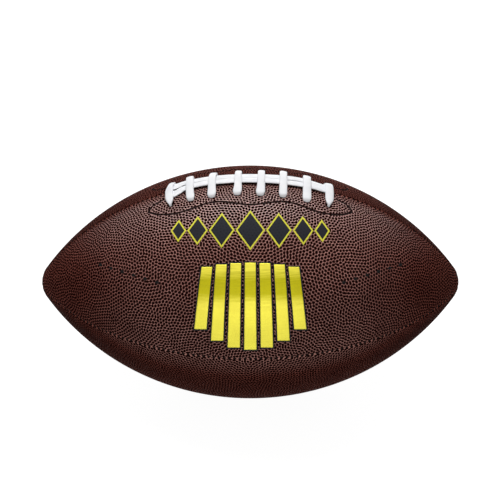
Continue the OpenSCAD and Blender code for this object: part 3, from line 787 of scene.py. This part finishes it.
def crossing_knots(c):
    """Knots (x, s, lift, width, skew) of one crossing: out of the rear hole, over the two long
    runs, and down into the front hole."""
    rest = LACE_T / 2 - LACE_PRESS
    over = LACE_OVER - (LACE_OVER - LACE_OVER_END) * smooth(*LACE_OVER_FADE, abs(c.middle_x))
    lean = (1 - c.rear_w / c.middle_w) / 2
    wide = c.rear_w + (c.middle_w - c.rear_w) * (1 - lean) / 2
    over_x = c.middle_x + (c.rear_x - c.middle_x) * (0.3 + lean)
    seam_x = c.middle_x + (c.rear_x - c.middle_x) * lean * 0.6
    wide_foot = (c.middle_w + c.foot_w) / 2
    foot_a, foot_b, foot_c = (share * c.foot_w for share in c.foot_shares)
    return [
        # Up out of the rear hole
        (c.rear_x, c.back, -LACE_UNDER, c.rear_w * 0.95, c.skew),
        (c.rear_x, c.back + 0.3, 0.0, c.rear_w, c.skew),
        (c.rear_x, c.back + 1.3, (rest + 0.5) * c.rise, c.rear_w, c.skew),
        # Over the rear run, the seam and the front run
        (c.rear_x * 0.7 + c.middle_x * 0.3, c.back + 3.6, 2.4 * c.rise, wide, c.skew * 0.6),
        (over_x, (c.back - 5.5) / 3, over, c.middle_w * (1 - lean), 0),
        (seam_x, -1.5, over + 0.1, c.middle_w * (1 - 0.6 * lean), 0),
        (c.middle_x, 2.2, over - 0.3, c.middle_w, 0),
        (c.middle_x, 5.4, rest + 0.9, c.middle_w, 0),
        # Along the skin to the foot, and down into the front hole
        (c.middle_x * 0.7 + c.foot_x * 0.3, c.front - 4.8, rest + 0.3, wide_foot, 0),
        (c.middle_x * 0.2 + c.foot_x * 0.8, c.front - 2.2, rest + 0.2, foot_a, 0),
        (c.foot_x, c.front - 0.6, rest + 0.1, foot_b, 0),
        (c.foot_x, c.front + 0.1, rest - 0.6, foot_c, 0),
        (c.foot_x, c.front + 0.3, -FOOT_UNDER, foot_c * 0.9, 0),
    ]


def run_knots(line):
    """Knots of one long run, which dips into the slit at both ends."""
    sag = RUN_SAG * smooth(*RUN_SAG_FADE, np.abs([x for x, _, _ in line]))
    knots = [(x, s, RUN_LIFT - drop, w, 0) for (x, s, w), drop in zip(line, sag)]
    for past, lift, share in RUN_DIPS:
        for at, (x, s, w) in ((0, line[0]), (len(knots) + 1, line[-1])):
            knots.insert(at, (x + math.copysign(past, x), s, lift, w * share, 0))
    return knots


def lace(material):
    """The whole lace: its crossings and its two long runs."""
    parts = [strap(crossing_knots(c), LACE_T, CROSSING_RINGS) for c in CROSSINGS]
    parts += [strap(run_knots(line), RUN_T, RUN_RINGS) for line in (REAR_RUN, FRONT_RUN)]
    make_mesh("lace", *join(parts), material, "lace_white")


# Stitches
def stitch(centre, along, out, length, sink):
    """A short thread with rounded ends that dips into the leather at both."""
    side = np.cross(along, out)
    turn = np.linspace(0, 2 * PI, THREAD_SIDES, endpoint=False)[:, None]
    points = []
    for t in np.linspace(-1, 1, THREAD_RINGS):
        radius = THREAD_D / 2 * math.sqrt(max(1 - abs(t) ** THREAD_END_POWER, THREAD_TIP_SHARE))
        middle = centre + along * (t * length / 2) + out * (THREAD_LIFT - sink * t * t)
        points.append(middle + radius * (np.cos(turn) * side + np.sin(turn) * out))
    return np.concatenate(points), tube_faces(THREAD_RINGS, THREAD_SIDES)


def stitch_between(p, q, above, length, sink):
    """A stitch in the middle of p and q, where above is a point over p."""
    along = unit(q - p)
    out = above - p
    out = unit(out - along * (out @ along))
    return stitch((p + q) / 2, along, out, length, sink)


def facing_stitches(name, side, material):
    """A row of threads in the groove of one facing."""
    line = FACING_LINES[side]
    far = np.concatenate([[0], np.cumsum(np.linalg.norm(np.diff(line, axis=0), axis=1))])
    count = int(far[-1] / FACING_PITCH)
    parts = []
    for i in range(count):
        at = (i + 0.5) * far[-1] / count
        ends = [at - STITCH_REACH, at + STITCH_REACH]
        x, s = (np.interp(ends, far, line[:, k]) for k in (0, 1))
        p, q = by_lacing(x, s, -FACING_STITCH_DROP)
        above = by_lacing(x[0], s[0], 1.0)
        parts.append(stitch_between(p, q, above, FACING_STITCH_LEN, FACING_STITCH_SINK))
    make_mesh(name, *join(parts), material, "thread_black")


def seam_stitches(name, alpha, first_run, last_run, material):
    """Threads that bridge the seam's valley, one at each pull of the leather."""
    lift = -SEAM_DEPTH - PULL_DEPTH + SEAM_STITCH_LIFT
    parts = []
    for i in range(math.ceil(first_run / SEAM_PITCH), math.floor(last_run / SEAM_PITCH) + 1):
        run = i * SEAM_PITCH
        p, q = (on_ball(run + reach, alpha, lift) for reach in (-STITCH_REACH, STITCH_REACH))
        above = on_ball(run - STITCH_REACH, alpha, 1.0)
        parts.append(stitch_between(p, q, above, SEAM_STITCH_LEN, SEAM_STITCH_SINK))
    make_mesh(name, *join(parts), material, "thread_black")


# Prints
def print_place(flat):
    """Run and angle on the ball of places in the print's plane."""
    x, y = flat[..., 0], flat[..., 1]
    return run_at(x), PRINT_ANGLE - np.arcsin(y / radius_at(x))


def patch_grid(corners):
    """Points of a fine grid over a quad of the print's plane, and their numbers in the grid."""
    p = np.asarray(corners, float)
    width = max(np.linalg.norm(p[1] - p[0]), np.linalg.norm(p[2] - p[3]))
    height = max(np.linalg.norm(p[3] - p[0]), np.linalg.norm(p[2] - p[1]))
    cols = max(1, math.ceil(width / PRINT_CELL)) + 1
    rows = max(1, math.ceil(height / PRINT_CELL)) + 1
    u = np.linspace(0, 1, cols)[None, :, None]
    v = np.linspace(0, 1, rows)[:, None, None]
    flat = (p[0] * (1 - u) + p[1] * u) * (1 - v) + (p[3] * (1 - u) + p[2] * u) * v
    return flat.reshape(-1, 2), np.arange(rows * cols).reshape(rows, cols)


def print_patch(corners):
    """A printed skin over a quad of the print's plane, with its edge turned down.

    Gives its points and faces, and the pit and the height in the print's plane at each point.
    """
    flat, grid = patch_grid(corners)
    run, alpha = print_place(flat)
    lift, floats = skin(run, alpha, UPPER_FRONT)
    top = on_ball(run, alpha, lift + PRINT_LIFT)
    cells = np.stack([grid[:-1, :-1], grid[:-1, 1:], grid[1:, 1:], grid[1:, :-1]], -1)
    faces = cells.reshape(-1, 4).tolist()
    rim = np.concatenate([grid[0], grid[1:, -1], grid[-1, -2::-1], grid[-2:0:-1, 0]])
    low = on_ball(run[rim], alpha[rim], lift[rim] - PRINT_LIFT)
    for i in range(len(rim)):
        k = (i + 1) % len(rim)
        faces.append((rim[k], rim[i], len(top) + i, len(top) + k))
    source = np.concatenate([grid.ravel(), rim])
    return np.concatenate([top, low]), faces, floats["pit"][source], flat[source, 1]


def print_piece(name, quads, material, slot):
    """One print of all its quads. Its height runs from 0 at the fan's foot to 1 at its top."""
    parts = [print_patch(quad) for quad in quads]
    pit = np.concatenate([part[2] for part in parts])
    height = np.concatenate([part[3] for part in parts])
    height = (height + FIELD_HALF_H) / (FAN_TOP + FIELD_HALF_H)
    points, faces = join([part[:2] for part in parts])
    make_mesh(name, points, faces, material, slot, {"pit": pit, "height": height})


# Materials
def new_material(name):
    """A material with nodes, its tree and its shader."""
    made = bpy.data.materials.new(name)
    made.use_nodes = True
    return made, made.node_tree, made.node_tree.nodes["Principled BSDF"]


def node(tree, kind, **values):
    """A node with its sockets or its settings set to the values."""
    made = tree.nodes.new(kind)
    for key, value in values.items():
        if key in made.inputs:
            made.inputs[key].default_value = value
        else:
            setattr(made, key, value)
    return made


def attribute(tree, name):
    return node(tree, "ShaderNodeAttribute", attribute_name=name).outputs["Fac"]


def noise(tree, scale, detail, stretch=(1, 1, 1)):
    """Noise over the object's own coordinates, stretched along each axis."""
    place = node(tree, "ShaderNodeTexCoord").outputs["Object"]
    mapping = node(tree, "ShaderNodeMapping", Scale=stretch)
    made = node(tree, "ShaderNodeTexNoise", Scale=scale, Detail=detail)
    tree.links.new(place, mapping.inputs["Vector"])
    tree.links.new(mapping.outputs["Vector"], made.inputs["Vector"])
    return made.outputs["Fac"]


def ramp(tree, source, *stops):
    """Colours along a value: each stop is its place and its colour."""
    made = tree.nodes.new("ShaderNodeValToRGB")
    elements = made.color_ramp.elements
    while len(elements) < len(stops):
        elements.new(0.5)
    for element, (place, colour) in zip(elements, stops):
        element.position = place
        element.color = (*colour, 1)
    tree.links.new(source, made.inputs["Fac"])
    return made.outputs["Color"]


def blend(tree, factor, a, b, kind="MIX"):
    """Mix of two colours, each an output or a fixed colour. Sockets 6 and 7 are for colours."""
    made = node(tree, "ShaderNodeMix", data_type="RGBA", blend_type=kind)
    for value, socket in ((factor, 0), (a, 6), (b, 7)):
        if isinstance(value, (tuple, float)):
            made.inputs[socket].default_value = (*value, 1) if socket else value
        else:
            tree.links.new(value, made.inputs[socket])
    return made.outputs[2]


def spread(tree, source, low, high, start=0.0, end=1.0):
    """The source, from start to end, turned into a value from low to high."""
    made = node(tree, "ShaderNodeMapRange")
    for key, value in (("From Min", start), ("From Max", end), ("To Min", low), ("To Max", high)):
        made.inputs[key].default_value = value
    tree.links.new(source, made.inputs["Value"])
    return made.outputs["Result"]


def times(tree, a, b):
    made = node(tree, "ShaderNodeMath", operation="MULTIPLY")
    tree.links.new(a, made.inputs[0])
    tree.links.new(b, made.inputs[1])
    return made.outputs[0]


def roughen(tree, shader, source, low, high, start=0.0, end=1.0):
    """Roughness from low to high along the source."""
    tree.links.new(spread(tree, source, low, high, start, end), shader.inputs["Roughness"])


def bump(tree, shader, height, strength, depth):
    made = node(tree, "ShaderNodeBump", Strength=strength, Distance=depth * MM)
    tree.links.new(height, made.inputs["Height"])
    tree.links.new(made.outputs["Normal"], shader.inputs["Normal"])


def leather():
    """Pebbled cover: greyish pink ridges round near-black pits, paler between the seam pulls, with
    painted shade in the seams, facing grooves, lace hollow and holes, and painted light and shade
    over the panels.
    """
    made, tree, shader = new_material("cover_leather")
    # The pit attribute: the pebbles' pits and painted shade, both near-black
    dark = spread(tree, attribute(tree, "pit"), low=0, high=1, start=PIT_FROM, end=PIT_TO)
    hide = ramp(tree, noise(tree, scale=50, detail=4), *HIDE_TINT)
    grain = ramp(tree, noise(tree, scale=800, detail=3), *HIDE_GRAIN)
    ridge = blend(tree, 1.0, hide, grain, "MULTIPLY")
    ridge = blend(tree, attribute(tree, "pale"), ridge, HIDE_SEAM_PALE)
    # Painted light and shade from the tone attribute
    shade = ramp(tree, attribute(tree, "tone"), *HIDE_SHADE)
    ridge = blend(tree, 1.0, ridge, shade, "MULTIPLY")
    colour = blend(tree, dark, ridge, HIDE_PIT)
    tree.links.new(colour, shader.inputs["Base Color"])
    roughen(tree, shader, dark, low=0.5, high=0.9)
    shader.inputs["Specular IOR Level"].default_value = 0.01
    shine = times(tree, attribute(tree, "gloss"), spread(tree, dark, low=1, high=0))
    tree.links.new(shine, shader.inputs["Coat Weight"])
    shader.inputs["Coat Roughness"].default_value = 0.45
    shader.inputs["Coat IOR"].default_value = 1.85
    bump(tree, shader, noise(tree, scale=2600, detail=3), strength=0.35, depth=0.06)
    return made


def lace_white():
    """Glazed white lace with a faint weave and a trace of grey."""
    made, tree, shader = new_material("lace_white")
    tone = ramp(tree, noise(tree, scale=160, detail=3), *LACE_TINT)
    tree.links.new(tone, shader.inputs["Base Color"])
    roughen(tree, shader, noise(tree, scale=500, detail=2), low=0.42, high=0.6)
    shader.inputs["Specular IOR Level"].default_value = 0.3
    bump(tree, shader, noise(tree, scale=900, detail=3), strength=0.3, depth=0.08)
    return made


def thread():
    """Waxed black thread."""
    made, tree, shader = new_material("thread_black")
    tone = ramp(tree, noise(tree, scale=3000, detail=2), *THREAD_TINT)
    tree.links.new(tone, shader.inputs["Base Color"])
    roughen(tree, shader, noise(tree, scale=2000, detail=1), low=0.6, high=0.8)
    shader.inputs["Specular IOR Level"].default_value = 0.1
    return made


def ink(name, plain, worn):
    """Flat ink, thinner over the pits of the leather."""
    made, tree, shader = new_material(name)
    wear = times(tree, attribute(tree, "pit"), noise(tree, scale=500, detail=3))
    tone = ramp(tree, wear, (0.1, plain), (0.7, worn))
    tree.links.new(tone, shader.inputs["Base Color"])
    roughen(tree, shader, noise(tree, scale=700, detail=4), low=0.45, high=0.65)
    shader.inputs["Specular IOR Level"].default_value = 0.08
    bump(tree, shader, noise(tree, scale=1800, detail=3), strength=0.2, depth=0.05)
    return made


def foil():
    """Hot-stamped gold foil: fine brushed streaks and a darker olive band across the fan, a
    painted reflection.
    """
    made, tree, shader = new_material("foil_gold")
    streaks = noise(tree, scale=1, detail=4, stretch=(90, 90, 1700))
    cloud = noise(tree, scale=130, detail=3)
    sway = node(tree, "ShaderNodeMath", operation="MULTIPLY_ADD")
    sway.inputs[1].default_value = FOIL_SWAY
    tree.links.new(streaks, sway.inputs[0])
    tree.links.new(attribute(tree, "height"), sway.inputs[2])
    # Painted reflection: the olive band across the gold
    band = ramp(tree, sway.outputs[0], *FOIL_GOLD_AND_REFLECTION)
    worn = ramp(tree, cloud, *FOIL_WORN)
    brushed = ramp(tree, streaks, *FOIL_BRUSHED)
    worn = blend(tree, 1.0, worn, brushed, "MULTIPLY")
    tree.links.new(blend(tree, 1.0, band, worn, "MULTIPLY"), shader.inputs["Base Color"])
    roughen(tree, shader, streaks, low=0.4, high=0.6, start=0.3, end=0.7)
    shader.inputs["Metallic"].default_value = 0.4
    shader.inputs["Specular IOR Level"].default_value = 0.2
    bump(tree, shader, streaks, strength=0.15, depth=0.05)
    return made


def cloth():
    """Woven cotton lining."""
    made, tree, shader = new_material("lining_cloth")
    warp = noise(tree, scale=1, detail=2, stretch=(300, 2400, 2400))
    weft = noise(tree, scale=1, detail=2, stretch=(2400, 300, 300))
    weave = times(tree, warp, weft)
    tone = ramp(tree, weave, *CLOTH_TINT)
    tree.links.new(tone, shader.inputs["Base Color"])
    shader.inputs["Roughness"].default_value = 0.9
    bump(tree, shader, weave, strength=0.6, depth=0.2)
    return made


def rubber(name, dark, light, rough):
    """Moulded rubber with a dusty bloom."""
    made, tree, shader = new_material(name)
    bloom = noise(tree, scale=220, detail=5)
    tone = ramp(tree, bloom, (0.35, dark), (0.7, light))
    tree.links.new(tone, shader.inputs["Base Color"])
    roughen(tree, shader, bloom, low=rough, high=rough + 0.2)
    shader.inputs["Specular IOR Level"].default_value = 0.3
    bump(tree, shader, noise(tree, scale=1500, detail=3), strength=0.25, depth=0.06)
    return made


def facing_leather():
    """Fibrous split leather of the facings and the tongue."""
    made, tree, shader = new_material("facing_leather")
    fibre = noise(tree, scale=1, detail=5, stretch=(260, 900, 900))
    tone = ramp(tree, fibre, *FACING_TINT)
    tree.links.new(tone, shader.inputs["Base Color"])
    shader.inputs["Roughness"].default_value = 0.85
    bump(tree, shader, fibre, strength=0.5, depth=0.15)
    return made


def dress(material, *names):
    """Gives CAD nodes that stay in view a finished material."""
    for name in names:
        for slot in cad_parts[name].material_slots:
            slot.material = material


# Camera, lights and floor
def camera():
    """The camera, aimed at the middle of the ball."""
    data = bpy.data.cameras.new("camera")
    data.lens = CAMERA_LENS
    data.shift_x, data.shift_y = CAMERA_SHIFT
    data.clip_start = CAMERA_NEAR * MM
    made = bpy.data.objects.new("camera", data)
    place = Vector((0, -math.cos(CAMERA_RISE), math.sin(CAMERA_RISE))) * CAMERA_DISTANCE * MM
    made.location = place
    made.rotation_euler = (-place).to_track_quat("-Z", "Y").to_euler()
    bpy.context.scene.collection.objects.link(made)
    bpy.context.scene.camera = made


def area_light(name, angle, far, size, level, aside):
    """A softbox seen from the ball at an angle above the front, moved aside along X. Level is the
    share of a white surface's brightness that it gives where it shines straight on."""
    data = bpy.data.lights.new(name, "AREA")
    data.shape = "RECTANGLE"
    data.size, data.size_y = size
    data.energy = level * PI * far ** 2 * PI
    made = bpy.data.objects.new(name, data)
    place = Vector((aside / far, -math.cos(angle), math.sin(angle))) * far
    made.location = place
    made.rotation_euler = (-place).to_track_quat("-Z", "Y").to_euler()
    bpy.context.scene.collection.objects.link(made)


def seen_directly(tree):
    """One for rays from the camera, and for those that metal and glass send on."""
    path = tree.nodes.new("ShaderNodeLightPath")
    first = node(tree, "ShaderNodeMath", operation="MAXIMUM")
    both = node(tree, "ShaderNodeMath", operation="MAXIMUM")
    tree.links.new(path.outputs["Is Camera Ray"], first.inputs[0])
    tree.links.new(path.outputs["Is Glossy Ray"], first.inputs[1])
    tree.links.new(first.outputs[0], both.inputs[0])
    tree.links.new(path.outputs["Is Transmission Ray"], both.inputs[1])
    return both.outputs[0]


def floor_material():
    """White to the eye with the ball's soft shadow, and pale grey to the light it sends up."""
    made, tree, shader = new_material("floor")
    shader.inputs["Base Color"].default_value = (*[FLOOR_BOUNCE] * 3, 1)
    shader.inputs["Roughness"].default_value = 0.9
    shader.inputs["Specular IOR Level"].default_value = 0.0
    shade = node(tree, "ShaderNodeBsdfDiffuse", Color=(*[FLOOR_SHADE] * 3, 1))
    glow = node(tree, "ShaderNodeEmission", Strength=FLOOR_GLOW)
    seen = tree.nodes.new("ShaderNodeAddShader")
    mix = tree.nodes.new("ShaderNodeMixShader")
    tree.links.new(shade.outputs[0], seen.inputs[0])
    tree.links.new(glow.outputs[0], seen.inputs[1])
    tree.links.new(seen_directly(tree), mix.inputs[0])
    tree.links.new(shader.outputs[0], mix.inputs[1])
    tree.links.new(seen.outputs[0], mix.inputs[2])
    tree.links.new(mix.outputs[0], tree.nodes["Material Output"].inputs["Surface"])
    return made


def stage():
    """A wide floor under the ball, and a dim room that looks white."""
    z = -BALL_R * MM
    far = FLOOR_HALF_SIDE
    mesh = bpy.data.meshes.new("floor")
    corners = [(-far, -far, z), (far, -far, z), (far, far, z), (-far, far, z)]
    mesh.from_pydata(corners, [], [(0, 1, 2, 3)])
    mesh.materials.append(floor_material())
    floor = bpy.data.objects.new("floor", mesh)
    bpy.context.scene.collection.objects.link(floor)
    world = bpy.data.worlds.new("world")
    world.use_nodes = True
    tree = world.node_tree
    back = tree.nodes["Background"]
    back.inputs["Color"].default_value = (*WHITE, 1)
    tree.links.new(spread(tree, seen_directly(tree), WORLD_LEVEL, 1.0), back.inputs["Strength"])
    bpy.context.scene.world = world


# The scene
camera()
stage()
area_light("top_light", *TOP_LIGHT)
area_light("front_light", *FRONT_LIGHT)
area_light("rear_light", *REAR_LIGHT)

cover = leather()
panels = [panel(name, index, cover) for index, name in enumerate(PANEL_NAMES)]
cut_valve_hole(panels[UPPER_REAR])
lace(lace_white())

black = thread()
facing_stitches("facing_stitches_front", 1, black)
facing_stitches("facing_stitches_rear", -1, black)
for seam_row in SEAM_ROWS:
    seam_stitches(*seam_row, black)

dark_ink = ink("ink_black", *INK_BLACK)
yellow_ink = ink("ink_yellow", *INK_YELLOW)
marks_ink = ink("ink_marks", *INK_MARKS)
band, band_outer = band_quads(0), band_quads(BAND_EDGE)
fan, fan_outer = fan_quads(0), fan_quads(FAN_EDGE)
print_piece("print_band", band, dark_ink, "ink_black")
print_piece("print_band_edge", frame_quads(band, band_outer), yellow_ink, "ink_yellow")
print_piece("print_fan", fan, foil(), "foil_gold")
print_piece("print_fan_edge", frame_quads(fan, fan_outer), dark_ink, "ink_black")
print_piece("print_pips", pip_quads(), marks_ink, "ink_black")

lining = cloth()
dress(lining, "lining_upper_front", "lining_upper_rear", "lining_lower_front", "lining_lower_rear")
dress(lining, "valve_patch")
dress(rubber("bladder_rubber", *BLADDER_RUBBER, rough=0.45), "bladder", "valve_body")
dress(rubber("plug_rubber", *PLUG_RUBBER, rough=0.5), "valve_plug")
dress(facing_leather(), "facing_front", "facing_rear", "lace_tongue")

bpy.context.scene.view_settings.view_transform = "Standard"
